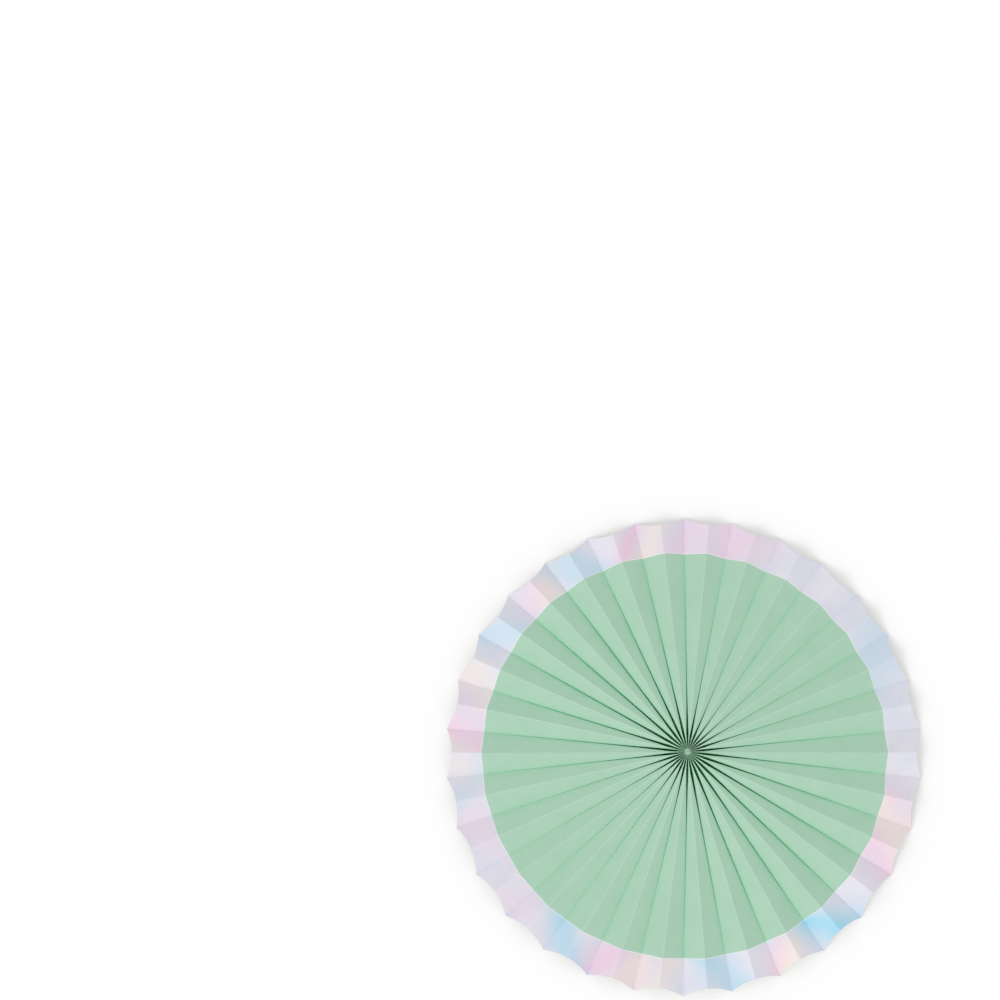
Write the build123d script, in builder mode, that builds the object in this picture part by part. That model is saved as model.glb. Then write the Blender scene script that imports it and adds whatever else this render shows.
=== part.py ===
"""Paper fan rosette: two pleated half fans gathered on a thread and taped together at two seams.

It lies face up. The valley folds rest on the plane z = 0, the gathered middle is on the Z axis, and the
two seams run along +X and -X. Lengths are in millimetres.
"""

import os
from math import cos, hypot, radians, sin, sqrt, tan

from build123d import *

# Driving sizes of the pleated paper
TIP_DIAMETER = 304.8
RIDGE_COUNT = 30
RIM_HEIGHT = 12.0
PAPER_THICKNESS = 0.25
SCALLOP_SAG = 3.5
GATHER_SLACK = 1.25

# Driving sizes of the thread that gathers the inner ends
THREAD_DIAMETER = 0.8
THREAD_SIDES = 5
THREAD_HOLE_WIDTH = 1.4
HOLE_SIDES = 4
THREAD_RING_RADIUS = 9.0

# Driving sizes of the tape under each seam
TAPE_WIDTH = 12.0
TAPE_THICKNESS = 0.1
TAPE_INNER_RADIUS = 24.0
TAPE_RIM_MARGIN = 16.0

# Angles of the pleats: a ridge stands every full pitch, with a valley half way between two ridges
HALF_PITCH = 180 / RIDGE_COUNT
PLEATS_PER_HALF = RIDGE_COUNT // 2
HALF_TURN = 180
SPREAD = tan(radians(HALF_PITCH))

# Every panel is a strip of one width, upright at the gather and leaning over towards the rim
TIP_RADIUS = TIP_DIAMETER / 2
PANEL_WIDTH = hypot(RIM_HEIGHT, TIP_RADIUS * SPREAD)
GATHER_RADIUS = GATHER_SLACK * PAPER_THICKNESS / SPREAD

# The rim is a ring of hollow arcs, centred beyond each ridge and meeting in a tip at each valley
HALF_CHORD = TIP_RADIUS * sin(radians(HALF_PITCH))
SCALLOP_RADIUS = (HALF_CHORD**2 + SCALLOP_SAG**2) / (2 * SCALLOP_SAG)
SCALLOP_CENTRE = TIP_RADIUS * cos(radians(HALF_PITCH)) - SCALLOP_SAG + SCALLOP_RADIUS
BLANK_RADIUS = TIP_RADIUS + SCALLOP_SAG

# Stations along a pleat at which its section is worked out: ever closer towards the gather, and evenly
# spaced where the tape lies against it
GATHER_SPANS = 3
TAPE_SPANS = 3
TAPE_LENGTH = TIP_RADIUS - TAPE_RIM_MARGIN - TAPE_INNER_RADIUS
GATHER_RATIO = TAPE_INNER_RADIUS / GATHER_RADIUS
GATHER_STATIONS = [GATHER_RADIUS * GATHER_RATIO ** (i / GATHER_SPANS) for i in range(GATHER_SPANS)]
TAPE_STATIONS = [TAPE_INNER_RADIUS + TAPE_LENGTH * i / TAPE_SPANS for i in range(TAPE_SPANS + 1)]
PLEAT_STATIONS = [*GATHER_STATIONS, *TAPE_STATIONS, BLANK_RADIUS]


def half_span(x):
    """Distance across from a valley to the next ridge, at x along the pleat."""
    return x * SPREAD


def ridge_rise(x):
    """Height of a ridge above the valleys, from the fixed panel width and the half span."""
    return sqrt(PANEL_WIDTH**2 - half_span(x) ** 2)


def fold_depth(x):
    """Height from the middle of the paper at a fold to the inside corner of that fold."""
    return PAPER_THICKNESS * PANEL_WIDTH / (2 * half_span(x))


def crease_half_width(x):
    """Half the width of the flat on the outside of a fold."""
    return PAPER_THICKNESS * (PANEL_WIDTH - half_span(x)) / (2 * ridge_rise(x))


def under_ridge(x):
    """Corner (y, z) under a ridge, where the backs of two panels meet."""
    return half_span(x), ridge_rise(x) + PAPER_THICKNESS / 2 - fold_depth(x)


def partway(start, end):
    """Point on the line from a ridge corner to a valley corner, as far down as the tape's edge."""
    share = TAPE_WIDTH / 2 / PANEL_WIDTH
    return tuple(a + share * (b - a) for a, b in zip(start, end))


def tape_edge(x):
    """Place (y, z) of the tape's edge on the back of a panel."""
    return partway(under_ridge(x), (crease_half_width(x), 0))


def pleat_section(x):
    """Corners of one V of paper at x, going round it from the valley, each as a point (x, y, z).

    The tape's edge is a corner of each panel's back, with a like corner on its face.
    """
    top = ridge_rise(x) + PAPER_THICKNESS
    valley = (0, PAPER_THICKNESS / 2 + fold_depth(x))
    crest = (half_span(x) - crease_half_width(x), top)
    right = [
        partway(crest, valley),
        crest,
        (half_span(x), top),
        under_ridge(x),
        tape_edge(x),
        (crease_half_width(x), 0),
    ]
    left = [(-y, z) for y, z in reversed(right)]
    return [(x, y, z) for y, z in [valley, *right, *left]]


def tape_section(x):
    """Corners of one leg of tape at x, against the back of the panel on the pleat's far side."""
    drop = TAPE_THICKNESS * PANEL_WIDTH / half_span(x)
    upper = [under_ridge(x), tape_edge(x)]
    lower = [(y, z - drop) for y, z in reversed(upper)]
    return [(x, -y, z) for y, z in [*upper, *lower]]


def facet(*corners):
    """Flat face with the given corners."""
    return Face(Wire.make_polygon(corners))


def folded_solid(sections):
    """Solid through sections with equal numbers of corners, joined by flat three-cornered facets.

    The facets' diagonals run from the higher corner of one section to the lower corner of the next, so
    the face and the back of a panel turn alike and the paper keeps its thickness.
    """
    faces = [facet(*sections[0]), facet(*sections[-1])]
    for near, far in zip(sections, sections[1:]):
        for i, j in zip(range(len(near)), [*range(1, len(near)), 0]):
            high, low = (i, j) if near[i][2] >= near[j][2] else (j, i)
            faces.append(facet(near[high], near[low], far[low]))
            faces.append(facet(near[high], far[low], far[high]))
    return Solid(Shell(faces))


os.makedirs("parts", exist_ok=True)

# One pleat, cut to the rim's arcs and pierced by a needle for the thread
with BuildPart() as pleat:
    add(folded_solid([pleat_section(x) for x in PLEAT_STATIONS]))
    with PolarLocations(SCALLOP_CENTRE, 2, start_angle=-HALF_PITCH, angular_range=4 * HALF_PITCH):
        Cylinder(SCALLOP_RADIUS, 3 * PANEL_WIDTH, mode=Mode.SUBTRACT)
    with BuildSketch(Plane.XZ):
        with Locations((THREAD_RING_RADIUS, PANEL_WIDTH / 2)):
            RegularPolygon(THREAD_HOLE_WIDTH / 2, HOLE_SIDES, major_radius=False)
    extrude(amount=PANEL_WIDTH, both=True, mode=Mode.SUBTRACT)

# The two halves of the rosette, each one strip of paper folded into half the pleats
with BuildPart() as upper_half_fan:
    with PolarLocations(0, PLEATS_PER_HALF, start_angle=HALF_PITCH, angular_range=HALF_TURN):
        add(pleat.part)
upper_half_fan.part.label = "upper_half_fan"
export_step(upper_half_fan.part, "parts/upper_half_fan.step")

with BuildPart() as lower_half_fan:
    add(upper_half_fan.part, rotation=(0, 0, HALF_TURN))
lower_half_fan.part.label = "lower_half_fan"
export_step(lower_half_fan.part, "parts/lower_half_fan.step")

# The thread, drawn tight through the holes in both halves
with BuildPart() as gather_thread:
    with BuildSketch(Plane.XZ):
        with Locations((THREAD_RING_RADIUS, PANEL_WIDTH / 2)):
            RegularPolygon(THREAD_DIAMETER / 2, THREAD_SIDES)
    revolve(axis=Axis.Z)
gather_thread.part.label = "gather_thread"
export_step(gather_thread.part, "parts/gather_thread.step")

# The strips of tape that hold the halves together, one under each seam
with BuildPart() as right_seam_tape:
    add(folded_solid([tape_section(x) for x in TAPE_STATIONS]), rotation=(0, 0, HALF_PITCH))
    mirror(about=Plane.XZ)
right_seam_tape.part.label = "right_seam_tape"
export_step(right_seam_tape.part, "parts/right_seam_tape.step")

with BuildPart() as left_seam_tape:
    add(right_seam_tape.part, rotation=(0, 0, HALF_TURN))
left_seam_tape.part.label = "left_seam_tape"
export_step(left_seam_tape.part, "parts/left_seam_tape.step")
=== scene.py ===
"""Paper fan rosette, dressed for its picture: two pleated half fans, their thread and their seam tapes.

The frame is the part's own, in metres: valley folds on z = 0, seams along +X and -X.
"""

import bpy
import numpy as np
from mathutils import Matrix


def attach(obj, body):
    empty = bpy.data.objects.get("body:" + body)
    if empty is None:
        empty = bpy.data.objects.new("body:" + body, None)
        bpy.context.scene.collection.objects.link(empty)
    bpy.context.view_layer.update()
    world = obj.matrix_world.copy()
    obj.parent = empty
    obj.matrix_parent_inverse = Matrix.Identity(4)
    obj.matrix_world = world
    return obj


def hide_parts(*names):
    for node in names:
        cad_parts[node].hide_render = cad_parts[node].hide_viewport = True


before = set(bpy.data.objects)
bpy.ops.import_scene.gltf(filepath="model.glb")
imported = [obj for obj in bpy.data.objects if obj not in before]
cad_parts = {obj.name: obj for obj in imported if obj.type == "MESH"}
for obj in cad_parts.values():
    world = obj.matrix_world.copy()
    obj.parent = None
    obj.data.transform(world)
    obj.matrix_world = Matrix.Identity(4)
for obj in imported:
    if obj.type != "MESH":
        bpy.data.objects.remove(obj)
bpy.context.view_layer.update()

# The two half fans. Each is one strip of card, mint green with a pearly border along one edge, folded
# back and forth into thirty panels of one width. The border's edge is cut into hollow arcs, the other
# edge is gathered on a thread, and the strip is fanned through half a turn.
PAPER = 0.00025
TIP_RADIUS = 0.1524
RIM_RISE = 0.012
PLEATS = 15
HALF_PITCH = np.pi / (2 * PLEATS)
SPREAD = np.tan(HALF_PITCH)
PANEL = np.hypot(RIM_RISE, TIP_RADIUS * SPREAD)
BORDER_START = 0.1286

# The gather sits a little off the middle of the outline, towards the upper right. The card is crushed
# there, to a share of the room that each panel has.
GATHER_SHIFT = np.array([0.0019, 0.0020])
GATHER_RADIUS = 0.0003
GATHER_CRUSH = 0.001
CRUSHED_SHARE = 0.4

# The slot between a valley's two walls: its opening, the greatest share of half a pitch that it takes,
# the shortest and longest reach, the gap left once it is shut, and how far the rim's walls are pressed
SLOT_OPEN = 0.00115
SLOT_SHARE = 0.45
SLOT_REACH = (0.0095, 0.024)
SLOT_SHUT = 0.000002
SLOT_PRESS = 0.0001

# The roof's lean, the lean at which the bend between wall and roof eases off, and the radii of the folds
# and the bend, which take up no more than a share of the room beside the slot
ROOF_LEAN = np.radians(30)
EASE_LEAN = np.radians(44)
VALLEY_RADIUS = 0.00022
RIDGE_RADIUS = 0.0003
BEND_RADIUS = 0.0001
BEND_SWELL = 0.0038
EASE_RADIUS = 0.014
BEND_SHARE = 0.8

# The arcs of the rim, centred beyond the ridges and meeting in a tip at each valley
SCALLOP_SAG = 0.0035
SCALLOP_CHORD = TIP_RADIUS * np.sin(HALF_PITCH)
SCALLOP_RADIUS = (SCALLOP_CHORD**2 + SCALLOP_SAG**2) / (2 * SCALLOP_SAG)
SCALLOP_CENTRE = TIP_RADIUS * np.cos(HALF_PITCH) - SCALLOP_SAG + SCALLOP_RADIUS

# How uneven hand folding is: degrees of a fold's angle, the shares of its height that a ridge sinks by
# at most and at a seam, and at the rim the lift of a valley, the bow of a panel and the trim of a tip
FOLD_SCATTER = 0.15
RIDGE_DROP = 0.018
SEAM_DROP = 0.006
VALLEY_LIFT = 0.0004
PANEL_BOW = (-0.00035, 0.0005)
TIP_TRIM = 0.0004
SEAM_GAP = 0.00005


# Slow waves in the folds' angles: how many go round the rosette, with the height and start of each in
# degrees, and the turn of the whole
SPREAD_WAVES = ((1, 0.52, 10), (2, 0.28, 48), (3, 0.25, 0))
SPREAD_TURN = -0.17


def paper_at(x):
    """Thickness of the card at x from the gather: full, or a share of half a pitch where it is crushed."""
    return np.minimum(PAPER, CRUSHED_SHARE * x * SPREAD)


def panel_runs(x, reach):
    """Wall's lean, radii and lengths of the six runs that make up a panel's section at x.

    A strip can't be upright at the gather and lean over at the rim without bending, and card bends along
    a diagonal. So a panel climbs from its tight valley fold as a steep wall, turns over in a bend that
    eases off, and goes on as a roof of one lean up to its ridge fold. The bend is widest half way out, and
    wider at a valley of long reach. The slot between the walls is crushed shut at the gather, opens, closes
    again over the reach and is pressed tight at the rim. The wall takes up the slot's width, and the
    roof's length is what brings the panel, of one width everywhere, to half a pitch.
    """
    span = x * SPREAD
    opened = SLOT_SHARE * span * np.clip((x - GATHER_CRUSH) / (2 * GATHER_CRUSH), 0, 1)
    slot = np.minimum(opened, SLOT_OPEN * np.exp(-x / reach)) + SLOT_SHUT + paper_at(x) / 2
    slot = slot - SLOT_PRESS * np.minimum(x / BORDER_START, 1) ** 2
    wall_lean = np.arccos(slot / (PANEL - (span - slot) / np.cos(ROOF_LEAN)))

    room = BEND_SHARE * (span - slot)
    valley = np.minimum(VALLEY_RADIUS, slot / 2)
    bend = BEND_SWELL * (reach / SLOT_REACH[1]) ** 3 * np.sin(np.pi * x / TIP_RADIUS) ** 2 + BEND_RADIUS
    bend = np.minimum(bend, room)
    ease = np.minimum(EASE_RADIUS, room)
    ridge = np.minimum(RIDGE_RADIUS, room)

    turns = [wall_lean, 0, wall_lean - EASE_LEAN, EASE_LEAN - ROOF_LEAN, 0, ROOF_LEAN]
    lengths = [radius * turn for radius, turn in zip([valley, 0, bend, ease, 0, ridge], turns)]
    curved = sum(lengths)
    across = (valley + bend) * np.sin(wall_lean) + (ease - bend) * np.sin(EASE_LEAN)
    across = across + (ridge - ease) * np.sin(ROOF_LEAN)
    roof = span - across - (PANEL - curved) * np.cos(wall_lean)
    lengths[4] = roof / (np.cos(ROOF_LEAN) - np.cos(wall_lean))
    lengths[1] = PANEL - curved - lengths[4]
    return wall_lean, (valley, bend, ease, ridge), lengths


def panel_section(x, reach, passed):
    """Height, sideways share, slope and length along the card at x, once lengths of the runs are passed.

    Arcs and straights are added up in turn, and the sideways share is of half a pitch.
    """
    wall_lean, (valley, bend, ease, ridge), _ = panel_runs(x, reach)
    sideways = passed[1] * np.cos(wall_lean) + passed[4] * np.cos(ROOF_LEAN)
    height = passed[1] * np.sin(wall_lean) + passed[4] * np.sin(ROOF_LEAN)
    slope = passed[0] / valley
    sideways = sideways + valley * np.sin(slope)
    height = height + valley * (1 - np.cos(slope))
    bends = [(bend, wall_lean, passed[2]), (ease, EASE_LEAN, passed[3]), (ridge, ROOF_LEAN, passed[5])]
    for radius, lean, length in bends:
        turned = lean - length / radius
        sideways = sideways + radius * (np.sin(lean) - np.sin(turned))
        height = height + radius * (np.cos(turned) - np.cos(lean))
        slope = slope - length / radius
    return height, sideways / (x * SPREAD), slope, sum(passed)


def hand_spread(angle):
    """Angle of a fold after spreading by hand: the even angle plus slow waves of up to 0.8 degrees."""
    wave = 0
    for count, height, start in SPREAD_WAVES:
        wave = wave + height * np.cos(count * angle - np.radians(start))
    return angle + np.radians(wave + SPREAD_TURN)


class HalfFan:
    """One half of the rosette: its folds' angles, their unevenness, and the bands of painted glint on its
    border.

    The valleys' slots reach furthest out at the rosette's upper left and lower right.
    """

    def __init__(self, start, seed, bands):
        chance = np.random.default_rng(seed)
        pitch = 2 * HALF_PITCH
        self.bands = bands
        self.middle = start + np.pi / 2
        self.ridges = hand_spread(start + pitch * np.arange(PLEATS + 1))
        self.ridges[1:-1] += np.radians(chance.uniform(-FOLD_SCATTER, FOLD_SCATTER, PLEATS - 1))
        self.valleys = hand_spread(start + pitch * (np.arange(PLEATS) + 0.5))
        self.valleys += np.radians(chance.uniform(-FOLD_SCATTER, FOLD_SCATTER, PLEATS))
        openness = np.sin(self.valleys - np.pi / 4) ** 2
        self.reach = SLOT_REACH[0] + (SLOT_REACH[1] - SLOT_REACH[0]) * openness
        self.ridge_drop = chance.uniform(0.0, RIDGE_DROP, PLEATS + 1)
        self.ridge_drop[[0, -1]] = SEAM_DROP
        self.valley_lift = chance.uniform(0.0, VALLEY_LIFT, PLEATS)
        self.bow = chance.uniform(*PANEL_BOW, 2 * PLEATS)
        self.trim = chance.uniform(-TIP_TRIM, 0.0, PLEATS)

    def points(self, pleat, side, x, section, depth):
        """Points of the paper, or of something depth below its middle, on one side of each pleat.

        In plan a point lies on the line between its valley and its ridge, by its sideways share. Then
        the middle moves to the gather, fading out at the rim.
        """
        height, share, slope, _ = section
        ridge = np.where(side > 0, pleat + 1, pleat)
        valley_angle = self.valleys[pleat]
        ridge_angle = self.ridges[ridge]
        flat_x = x * ((1 - share) * np.cos(valley_angle) + share * np.cos(ridge_angle) / np.cos(HALF_PITCH))
        flat_y = x * ((1 - share) * np.sin(valley_angle) + share * np.sin(ridge_angle) / np.cos(HALF_PITCH))

        z = height * (1 - self.ridge_drop[ridge] * height / PANEL) + PAPER / 2
        z = z + self.valley_lift[pleat] * (1 - share) * x / TIP_RADIUS
        belly = self.bow[2 * pleat + (side > 0)] * 4 * share * (1 - share) * x / TIP_RADIUS
        raised = belly - depth
        flat_x = flat_x + raised * np.sin(slope) * side * np.sin(valley_angle)
        flat_y = flat_y - raised * np.sin(slope) * side * np.cos(valley_angle)
        z = z + raised * np.cos(slope)

        fade = 1 - x / TIP_RADIUS
        flat_x = flat_x + fade * GATHER_SHIFT[0]
        flat_y = flat_y + fade * GATHER_SHIFT[1]
        flat_y = flat_y + np.sin(self.middle) * SEAM_GAP * (1 - np.abs(flat_y) / TIP_RADIUS)
        return np.stack([flat_x, flat_y, z], axis=-1)


def fold_stations():
    """Shares of a panel's six runs passed at each station, from the valley's middle to the ridge's."""
    steps = [3, 4, 4, 3, 3, 3]
    starts = np.cumsum([0, *steps[:-1]])
    station = np.arange(sum(steps) + 1)
    return np.stack([np.clip((station - start) / count, 0, 1) for start, count in zip(starts, steps)])


# Edges that turn by more than this stay sharp, as the cut edges do. The steps of a rounded fold turn less.
SHARP_TURN = np.radians(55)


def shell(name, front, back, along_u, along_v, zones):
    """Closed sheet between two grids of points, with its flat coordinates in metres as its UV map.

    zones gives the material of each row of front faces. The back takes the next one after the zones'
    last, and the cut edges the one after that.
    """
    rows, columns = front.shape[:2]
    under = rows * columns
    index = np.arange(under).reshape(rows, columns)
    quads = np.stack([index[:-1, :-1], index[:-1, 1:], index[1:, 1:], index[1:, :-1]], axis=-1)
    quads = quads.reshape(-1, 4)
    back_quads = quads[:, [0, 3, 2, 1]] + under
    loop = np.concatenate([index[0], index[1:, -1], index[-1, -2::-1], index[-2:0:-1, 0]])
    after = np.roll(loop, -1)
    rim = np.stack([after, loop, loop + under, after + under], axis=-1)
    faces = np.concatenate([quads, back_quads, rim])
    if np.cross(front[0, 1] - front[0, 0], front[1, 0] - front[0, 0])[2] < 0:
        faces = faces[:, ::-1]

    mesh = bpy.data.meshes.new(name)
    places = np.concatenate([front.reshape(-1, 3), back.reshape(-1, 3)])
    mesh.from_pydata(places.tolist(), [], faces.tolist())
    back_zone = np.full(len(back_quads), max(zones) + 1)
    edge_zone = np.full(len(rim), max(zones) + 2)
    kinds = np.concatenate([np.repeat(zones, columns - 1), back_zone, edge_zone])
    mesh.polygons.foreach_set("material_index", kinds.astype(np.int32))
    mesh.polygons.foreach_set("use_smooth", np.ones(len(faces), dtype=bool))
    flat_map = np.stack([along_u.ravel(), along_v.ravel()], axis=-1)
    flat_map = np.concatenate([flat_map, flat_map])
    corners = np.empty(len(mesh.loops), dtype=np.int32)
    mesh.loops.foreach_get("vertex_index", corners)
    mesh.uv_layers.new(name="flat_sheet").data.foreach_set("uv", flat_map[corners].ravel())
    mesh.update()
    mesh.set_sharp_from_angle(angle=SHARP_TURN)
    piece = bpy.data.objects.new(name, mesh)
    bpy.context.scene.collection.objects.link(piece)
    return piece


# Rows of the sheet's mesh, crowded towards the gather, and how many degrees round the fan a band of the
# border's painted glint drifts from its inner edge to its tips
MINT_ROWS = 38
MINT_CROWDING = 1.5
BORDER_ROWS = 12
BAND_SLANT = {"blush": -6.0, "cream": -6.0, "sky": 8.0}


def folded_half(name, half):
    """The half fan's sheet: rows run from the gather to the rim, columns along the strip."""
    panel = fold_stations()
    pair = np.concatenate([panel[:, ::-1][:, :-1], panel[:, :-1]], axis=1)
    stations = np.concatenate([np.tile(pair, PLEATS), panel[:, -1:]], axis=1)
    per_pleat = pair.shape[1]
    pleat = np.append(np.repeat(np.arange(PLEATS), per_pleat), PLEATS - 1)
    side = np.where(np.arange(per_pleat) < per_pleat // 2, -1, 1)
    side = np.append(np.tile(side, PLEATS), 1)

    # The rim's arc, met by each line that keeps its share between valley and ridge
    at_tips = np.full(stations.shape[1], TIP_RADIUS)
    reach = half.reach[pleat]
    share = panel_section(at_tips, reach, stations * panel_runs(at_tips, reach)[2])[1]
    square = 1 + (share * SPREAD) ** 2
    middle = SCALLOP_CENTRE * (np.cos(HALF_PITCH) + share * SPREAD * np.sin(HALF_PITCH))
    inside = middle**2 - square * (SCALLOP_CENTRE**2 - SCALLOP_RADIUS**2)
    rim = (middle - np.sqrt(np.maximum(inside, 0))) / square
    rim = np.minimum(rim, TIP_RADIUS) + half.trim[pleat] * (1 - share) ** 2

    inner = np.linspace(0, 1, MINT_ROWS)[:, None] ** MINT_CROWDING
    outer = np.linspace(0, 1, BORDER_ROWS)[1:, None]
    mint_x = GATHER_RADIUS + (BORDER_START - GATHER_RADIUS) * inner + 0 * rim
    border_x = BORDER_START + (rim - BORDER_START) * outer
    x = np.concatenate([mint_x, border_x])
    section = panel_section(x, reach, stations[:, None, :] * panel_runs(x, reach)[2])
    pleat_grid = pleat[None, :] + np.zeros(x.shape, dtype=int)
    side_grid = side[None, :] + np.zeros(x.shape, dtype=int)
    front = half.points(pleat_grid, side_grid, x, section, -paper_at(x) / 2)
    back = half.points(pleat_grid, side_grid, x, section, paper_at(x) / 2)
    across = (2 * pleat_grid + 1) * PANEL + side_grid * section[3]
    zones = np.concatenate([np.zeros(len(inner) - 1, dtype=int), np.ones(len(outer), dtype=int)])
    piece = shell(name, front, back, across, x, zones)

    # Painted reflections: where the pearly border's iridescent glints turn it blue, pink or cream, in soft
    # bands that slant across it
    angle = np.degrees(np.arctan2(front[..., 1], front[..., 0])) % 360
    outward = (x - BORDER_START) / (TIP_RADIUS - BORDER_START) - 0.5
    for tint, bands in half.bands.items():
        slanted = angle - BAND_SLANT[tint] * outward
        shade = np.zeros(angle.shape)
        for place, width, strength in bands:
            shade = shade + strength * np.exp(-(((slanted - place) / width) ** 2))
        layer = piece.data.attributes.new(tint, "FLOAT", "POINT")
        layer.data.foreach_set("value", np.tile(np.minimum(shade, 1).ravel(), 2).astype(np.float32))
    return piece


def ink(red, green, blue):
    """Linear colour of an ink named by its screen values, 0 to 255."""
    shade = np.array([red, green, blue]) / 255
    linear = np.where(shade <= 0.04045, shade / 12.92, ((shade + 0.055) / 1.055) ** 2.4)
    return (*linear, 1.0)


class Finish:
    """A material under construction: its node tree and short ways to add nodes to it."""

    def __init__(self, name):
        self.material = bpy.data.materials.new(name)
        self.material.use_nodes = True
        self.tree = self.material.node_tree
        self.surface = self.tree.nodes["Principled BSDF"]

    def node(self, kind, settings=None, **inputs):
        """New node with settings, and inputs that are plain values or other nodes' outputs."""
        made = self.tree.nodes.new(kind)
        for key, value in (settings or {}).items():
            setattr(made, key, value)
        for key, value in inputs.items():
            self.feed(made.inputs[key.replace("_", " ")], value)
        return made

    def feed(self, socket, value):
        """Sets a socket to a value, or links it to an output."""
        if isinstance(value, bpy.types.NodeSocket):
            self.tree.links.new(value, socket)
        else:
            socket.default_value = value

    def math(self, operation, *values):
        """Output of a Math node."""
        made = self.tree.nodes.new("ShaderNodeMath")
        made.operation = operation
        for socket, value in zip(made.inputs, values):
            self.feed(socket, value)
        return made.outputs[0]

    def fade(self, value, low, high, start=0.0, end=1.0):
        """Output of a smooth Map Range."""
        settings = {"interpolation_type": "SMOOTHSTEP"}
        made = self.node("ShaderNodeMapRange", settings, Value=value, From_Min=low, From_Max=high)
        made.inputs["To Min"].default_value = start
        made.inputs["To Max"].default_value = end
        return made.outputs[0]

    def mix(self, share, first, second):
        """Output of a colour Mix."""
        made = self.tree.nodes.new("ShaderNodeMix")
        made.data_type = "RGBA"
        self.feed(made.inputs["Factor"], share)
        self.feed(made.inputs["A"], first)
        self.feed(made.inputs["B"], second)
        return made.outputs["Result"]

    def noise(self, vector, scale, detail=3.0, roughness=0.5):
        """Output of a noise texture."""
        made = self.node("ShaderNodeTexNoise", None, Vector=vector, Scale=scale, Detail=detail)
        made.inputs["Roughness"].default_value = roughness
        return made.outputs["Fac"]

    def flat_sheet(self):
        """Place on the sheet before folding: X is metres along the strip, and Y metres from the gather."""
        return self.node("ShaderNodeUVMap", {"uv_map": "flat_sheet"}).outputs[0]

    def part(self, vector, axis):
        """One coordinate of a vector."""
        return self.node("ShaderNodeSeparateXYZ", None, Vector=vector).outputs[axis]

    def bump(self, height, strength, distance):
        """Roughens the surface by a height."""
        made = self.node("ShaderNodeBump", None, Height=height, Strength=strength, Distance=distance)
        self.feed(self.surface.inputs["Normal"], made.outputs[0])


def mint_card():
    """Matt mint ink on card: faint cloudiness, fibres, worn ink and a painted highlight on the folds, paler
    at the gather.

    Light on its way to other card meets a paler green than the eye does. This stands in for the light
    that thin card lets through, and keeps the deep folds green.
    """
    finish = Finish("mint_card")
    sheet = finish.flat_sheet()
    along_strip = finish.part(sheet, "X")
    cloud = finish.noise(sheet, 55.0, 4.0, 0.6)
    fibre = finish.noise(sheet, 1500.0, 3.0, 0.7)
    colour = finish.mix(finish.fade(cloud, 0.3, 0.7), ink(172, 206, 184), ink(176, 209, 187))
    colour = finish.mix(finish.fade(fibre, 0.35, 0.75, 0.0, 0.25), colour, ink(176, 217, 192))
    wear_and_highlight = finish.noise(sheet, 260.0, 4.0, 0.6)
    # Worn ink and painted highlight: a thin pale line along every fold, ridges and valleys alike, except at
    # the seams
    from_fold = finish.math("PINGPONG", along_strip, PANEL / 2)
    crease = finish.fade(from_fold, 0.0001, 0.0004, 1, 0)
    crease = finish.math("MULTIPLY", crease, finish.fade(wear_and_highlight, 0.2, 0.6, 0.5, 1))
    from_end = finish.math("PINGPONG", along_strip, PLEATS * PANEL)
    crease = finish.math("MULTIPLY", crease, finish.math("GREATER_THAN", from_end, 0.002))
    colour = finish.mix(finish.math("MULTIPLY", crease, 0.5), colour, ink(196, 228, 206))
    # Paler card close to the gather, fading out by 2 mm from it
    at_gather = finish.fade(finish.part(sheet, "Y"), 0.0008, 0.002, 0.7, 0)
    colour = finish.mix(at_gather, colour, ink(222, 234, 222))
    bounce = finish.node("ShaderNodeLightPath").outputs["Is Diffuse Ray"]
    colour = finish.mix(bounce, colour, (0.46, 0.88, 0.65, 1))
    finish.feed(finish.surface.inputs["Base Color"], colour)
    finish.feed(finish.surface.inputs["Roughness"], finish.fade(fibre, 0.3, 0.7, 0.58, 0.68))
    finish.surface.inputs["Specular IOR Level"].default_value = 0.3
    finish.bump(fibre, 0.25, 0.00004)
    return finish.material


def pearl_border():
    """Pearly ink along the strip's edge: lilac white, with painted reflections in slanting bands of pink,
    cream and sky blue.

    A thin line of bare white shows where it meets the mint. It is paler to light on its way to other card.
    """
    finish = Finish("pearl_border")
    sheet = finish.flat_sheet()
    drift = finish.noise(sheet, 45.0, 2.0, 0.5)
    speck = finish.noise(sheet, 900.0, 2.0, 0.6)
    colour = finish.mix(finish.fade(drift, 0.35, 0.65), ink(221, 223, 233), ink(229, 226, 234))
    glint_pastels = {"blush": ink(238, 207, 226), "cream": ink(240, 228, 219), "sky": ink(168, 218, 236)}
    # Painted reflections: the foil's iridescent glints, laid into the colour as fixed pastel bands
    for tint, pastel in glint_pastels.items():
        band = finish.node("ShaderNodeAttribute", {"attribute_name": tint}).outputs["Fac"]
        band = finish.math("MULTIPLY", band, finish.fade(drift, 0.3, 0.6, 0.7, 1))
        colour = finish.mix(band, colour, pastel)
    bare = finish.fade(finish.part(sheet, "Y"), BORDER_START + 0.0003, BORDER_START + 0.0008, 0.5, 0)
    colour = finish.mix(bare, colour, ink(240, 241, 242))
    bounce = finish.node("ShaderNodeLightPath").outputs["Is Diffuse Ray"]
    colour = finish.mix(bounce, colour, ink(246, 245, 249))
    finish.feed(finish.surface.inputs["Base Color"], colour)
    finish.feed(finish.surface.inputs["Roughness"], finish.fade(speck, 0.3, 0.7, 0.68, 0.78))
    finish.surface.inputs["Metallic"].default_value = 0.4
    finish.surface.inputs["Specular IOR Level"].default_value = 0.3
    finish.bump(speck, 0.12, 0.00003)
    return finish.material


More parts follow.
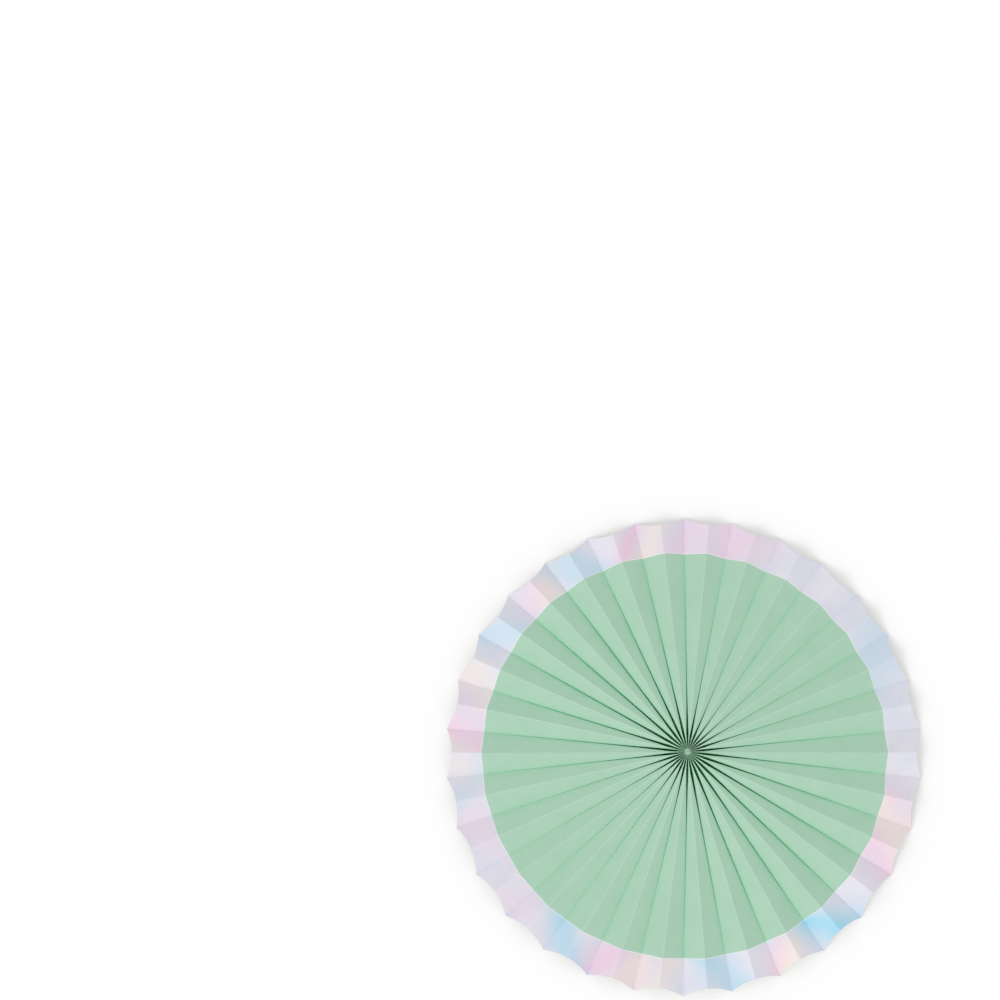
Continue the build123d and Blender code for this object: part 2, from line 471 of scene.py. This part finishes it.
def plain_back():
    """Unprinted back of the card: white, with the mint ink just showing through."""
    finish = Finish("plain_back")
    sheet = finish.flat_sheet()
    fibre = finish.noise(sheet, 1200.0, 4.0, 0.7)
    cloud = finish.noise(sheet, 70.0, 4.0, 0.6)
    colour = finish.mix(finish.fade(cloud, 0.3, 0.7), ink(238, 239, 234), ink(244, 244, 240))
    inked = finish.fade(finish.part(sheet, "Y"), BORDER_START - 0.0006, BORDER_START + 0.0006, 0.3, 0)
    colour = finish.mix(inked, colour, ink(205, 226, 212))
    colour = finish.mix(finish.fade(fibre, 0.4, 0.8, 0.0, 0.3), colour, ink(226, 226, 218))
    finish.feed(finish.surface.inputs["Base Color"], colour)
    finish.feed(finish.surface.inputs["Roughness"], finish.fade(fibre, 0.3, 0.7, 0.7, 0.8))
    finish.surface.inputs["Specular IOR Level"].default_value = 0.25
    finish.bump(fibre, 0.3, 0.00005)
    return finish.material


def cut_edge():
    """The card's white core, bared by the cut."""
    finish = Finish("cut_edge")
    place = finish.node("ShaderNodeTexCoord").outputs["Object"]
    fibre = finish.noise(place, 2500.0, 3.0, 0.7)
    colour = finish.mix(finish.fade(fibre, 0.3, 0.7), ink(222, 230, 222), ink(240, 243, 238))
    finish.feed(finish.surface.inputs["Base Color"], colour)
    finish.surface.inputs["Roughness"].default_value = 0.8
    finish.surface.inputs["Specular IOR Level"].default_value = 0.2
    return finish.material


# Each band of painted glint is its place and its width, in degrees round the fan, and its strength
upper_glint_bands = {
    "blush": [(76, 9, 0.6), (90, 5, 0.5), (104, 3, 1.0), (132, 6, 0.6), (168, 5, 0.5), (176, 4, 0.7)],
    "cream": [(98, 3, 0.8), (128, 5, 0.6), (160, 5, 0.6), (180, 4, 0.5)],
    "sky": [(28, 10, 0.35), (118, 4, 0.4), (124, 4, 0.4), (146, 5, 0.4)],
}
lower_glint_bands = {
    "blush": [(200, 8, 0.35), (222, 6, 0.3), (248, 5, 0.9), (258, 5, 0.4),
              (296, 4, 0.7), (333, 6, 0.8), (346, 5, 0.6)],
    "cream": [(184, 4, 0.4), (256, 4, 0.6), (264, 4, 0.5), (299, 4, 0.8), (341, 6, 0.7)],
    "sky": [(189, 3, 0.3), (237, 5, 0.75), (280, 5, 0.65), (310, 6, 1.0)],
}
upper = HalfFan(0.0, 11, upper_glint_bands)
lower = HalfFan(np.pi, 23, lower_glint_bands)

card_finishes = [mint_card(), pearl_border(), plain_back(), cut_edge()]
for name, half in (("upper_pleats", upper), ("lower_pleats", lower)):
    pleats = folded_half(name, half)
    for material in card_finishes:
        pleats.data.materials.append(material)
    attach(pleats, "root")
    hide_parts(name.replace("pleats", "half_fan"))

# The gather thread. A ring of two-ply cotton goes through a needle hole near the inner end of every
# panel, half way up, and holds the pleats bunched.
THREAD_RING = 0.009
THREAD_HEIGHT = PANEL / 2
PLY_RADIUS = 0.0002
TWISTS = 34
RING_STEPS = 1020
PLY_SIDES = 10

ring = np.linspace(0, 2 * np.pi, RING_STEPS, endpoint=False)[:, None, None]
around = np.linspace(0, 2 * np.pi, PLY_SIDES, endpoint=False)[None, :, None]
ply = np.array([0.0, np.pi])[None, None, :]
lay = TWISTS * ring + ply
out = PLY_RADIUS * (np.cos(lay) + np.cos(around + lay))
up = PLY_RADIUS * (np.sin(lay) + np.sin(around + lay))
thread_fade = 1 - THREAD_RING / TIP_RADIUS
thread_x = (THREAD_RING + out) * np.cos(ring) + thread_fade * GATHER_SHIFT[0]
thread_y = (THREAD_RING + out) * np.sin(ring) + thread_fade * GATHER_SHIFT[1]
thread_points = np.stack([thread_x, thread_y, THREAD_HEIGHT + up], axis=-1)
here = np.arange(up.size).reshape(up.shape)
ahead = np.roll(here, -1, axis=0)
beside = np.roll(here, -1, axis=1)
thread_faces = np.stack([here, beside, np.roll(ahead, -1, axis=1), ahead], axis=-1)
thread_mesh = bpy.data.meshes.new("gather_cotton")
thread_mesh.from_pydata(thread_points.reshape(-1, 3).tolist(), [], thread_faces.reshape(-1, 4).tolist())
thread_mesh.polygons.foreach_set("use_smooth", np.ones(len(thread_mesh.polygons), dtype=bool))
thread_mesh.update()
thread = bpy.data.objects.new("gather_cotton", thread_mesh)
bpy.context.scene.collection.objects.link(thread)

cotton = Finish("white_cotton")
cotton_place = cotton.node("ShaderNodeTexCoord").outputs["Object"]
cotton_fibre = cotton.noise(cotton_place, 6000.0, 4.0, 0.7)
cotton_shade = cotton.mix(cotton.fade(cotton_fibre, 0.3, 0.7), ink(206, 210, 200), ink(236, 236, 228))
cotton.feed(cotton.surface.inputs["Base Color"], cotton_shade)
cotton.surface.inputs["Roughness"].default_value = 0.9
cotton.surface.inputs["Sheen Weight"].default_value = 0.2
cotton.bump(cotton_fibre, 0.4, 0.00005)
thread_mesh.materials.append(cotton.material)
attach(thread, "root")
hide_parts("gather_thread")

# The seam tapes. A strip of milky white tape is folded under each seam and pressed against the backs of
# the two panels that meet there.
TAPE_WIDTH = 0.012
TAPE_THICKNESS = 0.00008
TAPE_GLUE = 0.00004
TAPE_START = 0.024
TAPE_END = 0.1364
TAPE_ROWS = 40


def seam_tape(name, before, after):
    """Tape under the seam between the end of one half and the start of the next.

    A point is a distance from the seam along the card, which gives the runs of the panel passed by then,
    at a depth just below the card's back. The points crowd at the fold.
    """
    x = np.linspace(TAPE_START, TAPE_END, TAPE_ROWS)[:, None]
    at_fold = np.array([0.0, 0.00008, 0.00016, 0.0003, 0.0006])
    away = np.concatenate([at_fold, np.linspace(0.0012, TAPE_WIDTH / 2, 8)])
    away = away[None, :] + 0 * x
    x = x + 0 * away
    near = PAPER / 2 + TAPE_GLUE
    sheets = []
    for depth in (near, near + TAPE_THICKNESS):
        legs = []
        for half, pleat, side in ((before, PLEATS - 1, 1), (after, 0, -1)):
            reach = half.reach[pleat]
            lengths = np.stack(panel_runs(x, reach)[2])
            starts = np.cumsum(lengths, axis=0) - lengths
            section = panel_section(x, reach, np.clip(PANEL - away - starts, 0, lengths))
            legs.append(half.points(np.full(x.shape, pleat), np.full(x.shape, side), x, section, depth))
        sheets.append(np.concatenate([legs[0][:, ::-1], legs[1]], axis=1))
    along_u = np.concatenate([-away[:, ::-1], away], axis=1)
    along_v = np.concatenate([x, x], axis=1)
    return shell(name, sheets[0], sheets[1], along_u, along_v, np.zeros(TAPE_ROWS - 1, dtype=int))


def tape_film():
    """Matt adhesive film: milky, with a faint grain and small trapped bubbles."""
    finish = Finish("tape_film")
    sheet = finish.flat_sheet()
    grain = finish.noise(sheet, 700.0, 3.0, 0.6)
    bubble = finish.noise(sheet, 240.0, 1.0, 0.4)
    colour = finish.mix(finish.fade(grain, 0.3, 0.7), ink(232, 230, 220), ink(242, 241, 234))
    colour = finish.mix(finish.fade(bubble, 0.6, 0.72, 0, 0.4), colour, ink(226, 225, 215))
    finish.feed(finish.surface.inputs["Base Color"], colour)
    finish.feed(finish.surface.inputs["Roughness"], finish.fade(bubble, 0.4, 0.7, 0.38, 0.55))
    finish.bump(grain, 0.2, 0.00003)
    return finish.material


film = tape_film()
for name, halves in (("right_tape", (lower, upper)), ("left_tape", (upper, lower))):
    tape = seam_tape(name, *halves)
    for face in ("front", "back", "edge"):
        tape.data.materials.append(film)
    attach(tape, "root")
    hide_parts(name.replace("tape", "seam_tape"))

# The floor. A wide white table top just under the valley folds, which keeps the fan's soft shadow. It
# glows a little to the camera and in reflections, up to the white of the backdrop.
FLOOR_HALF = 6.0
FLOOR_DROP = 0.0002
FLOOR_GLOW = 0.17
floor_mesh = bpy.data.meshes.new("floor")
floor_corners = [(-1, -1), (1, -1), (1, 1), (-1, 1)]
floor_points = [(FLOOR_HALF * x, FLOOR_HALF * y, -FLOOR_DROP) for x, y in floor_corners]
floor_mesh.from_pydata(floor_points, [], [(0, 1, 2, 3)])
floor = bpy.data.objects.new("floor", floor_mesh)
bpy.context.scene.collection.objects.link(floor)
table = Finish("white_table")
table.surface.inputs["Base Color"].default_value = (0.86, 0.86, 0.86, 1)
table.surface.inputs["Roughness"].default_value = 0.9
table.surface.inputs["Specular IOR Level"].default_value = 0.0
table.surface.inputs["Emission Color"].default_value = (1, 1, 1, 1)
light_path = table.node("ShaderNodeLightPath").outputs
in_sight = light_path["Is Camera Ray"]
for ray in ("Is Glossy Ray", "Is Transmission Ray"):
    in_sight = table.math("MAXIMUM", in_sight, light_path[ray])
table.feed(table.surface.inputs["Emission Strength"], table.math("MULTIPLY", in_sight, FLOOR_GLOW))
floor_mesh.materials.append(table.material)

# The light. An even white room, which is a white backdrop to the camera and in reflections, and one broad
# soft lamp from the lower left.
ROOM_LIGHT = 0.78
LAMP_STRENGTH = 0.76
LAMP_AZIMUTH = np.radians(225)
LAMP_HEIGHT = np.radians(52)
LAMP_SPREAD = np.radians(30)
scene = bpy.context.scene
room = bpy.data.worlds.new("white_room")
scene.world = room
room.use_nodes = True
room_nodes = room.node_tree.nodes
room_links = room.node_tree.links
backdrop = room_nodes["Background"]
backdrop.inputs["Color"].default_value = (1, 1, 1, 1)
ray_kinds = room_nodes.new("ShaderNodeLightPath").outputs
in_view = ray_kinds["Is Camera Ray"]
for ray in ("Is Glossy Ray", "Is Transmission Ray"):
    either = room_nodes.new("ShaderNodeMath")
    either.operation = "MAXIMUM"
    room_links.new(in_view, either.inputs[0])
    room_links.new(ray_kinds[ray], either.inputs[1])
    in_view = either.outputs[0]
room_level = room_nodes.new("ShaderNodeMapRange")
room_level.inputs["To Min"].default_value = ROOM_LIGHT
room_level.inputs["To Max"].default_value = 1.0
room_links.new(in_view, room_level.inputs["Value"])
room_links.new(room_level.outputs[0], backdrop.inputs["Strength"])

lamp_data = bpy.data.lights.new("soft_lamp", "SUN")
lamp_data.energy = LAMP_STRENGTH
lamp_data.angle = LAMP_SPREAD
lamp = bpy.data.objects.new("soft_lamp", lamp_data)
lamp.rotation_euler = (np.pi / 2 - LAMP_HEIGHT, 0, LAMP_AZIMUTH + np.pi / 2)
scene.collection.objects.link(lamp)

# The camera. It looks down from 2.6 m above the table through a long lens, with the fan low and to the
# right in the picture.
CAMERA_PLACE = (-0.0977, -0.0955, 2.596)
CAMERA_AIM = (-0.1173, 0.1646, 0.0)
CAMERA_LENS = 146.0
camera_data = bpy.data.cameras.new("camera")
camera_data.lens = CAMERA_LENS
camera = bpy.data.objects.new("camera", camera_data)
sight = np.array(CAMERA_AIM) - np.array(CAMERA_PLACE)
sight = sight / np.linalg.norm(sight)
right = np.cross(sight, (0.0, 1.0, 0.0))
right = right / np.linalg.norm(right)
top = np.cross(right, sight)
turn = np.eye(4)
turn[:3] = np.stack([right, top, -sight, CAMERA_PLACE], axis=1)
camera.matrix_world = Matrix(turn)
scene.collection.objects.link(camera)
scene.camera = camera
scene.view_settings.view_transform = "Standard"

# Light goes from card to card many times in the deep folds
scene.cycles.diffuse_bounces = 16
scene.cycles.max_bounces = 20
